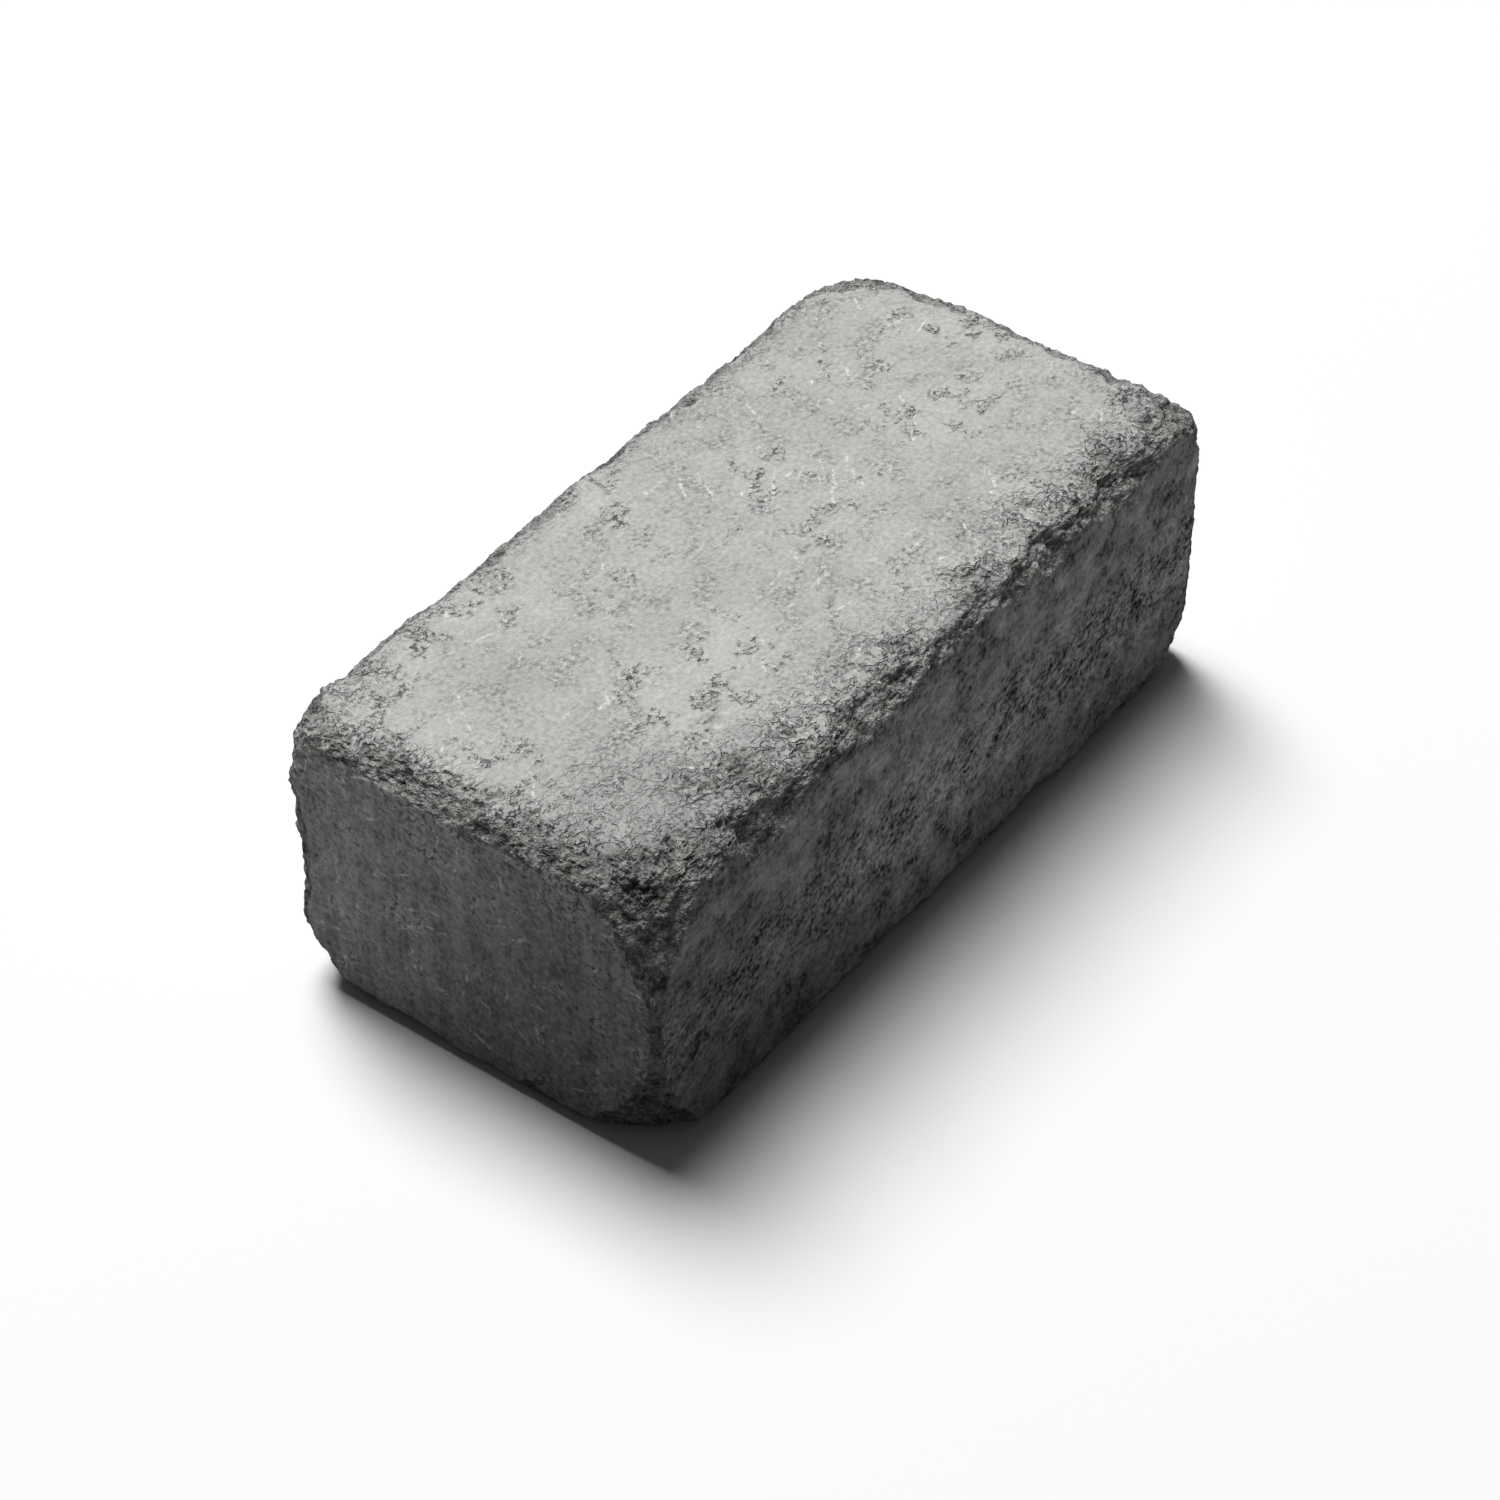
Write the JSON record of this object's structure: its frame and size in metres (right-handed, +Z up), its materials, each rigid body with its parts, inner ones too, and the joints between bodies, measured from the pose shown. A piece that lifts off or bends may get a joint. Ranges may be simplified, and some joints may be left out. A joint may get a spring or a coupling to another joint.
{
  "type": "tumbled concrete wall block",
  "caption": "Solid oblong concrete block with flat cast faces, broken arrises and knocked corners, laid in courses to build a low garden or retaining wall.",
  "frame": {"origin": "middle of the lower bed face, on the ground that the block lies on", "axes": "+X along the block's length, +Y across its width, +Z up through its height"},
  "size_m": [0.3, 0.145, 0.11],
  "materials": {
    "concrete": "dry grey cast concrete, matt, with fine pores on the cast faces and coarse broken grain on the arrises"
  },
  "bodies": {
    "root": {"wall_block": "concrete"}
  },
  "joints": []
}
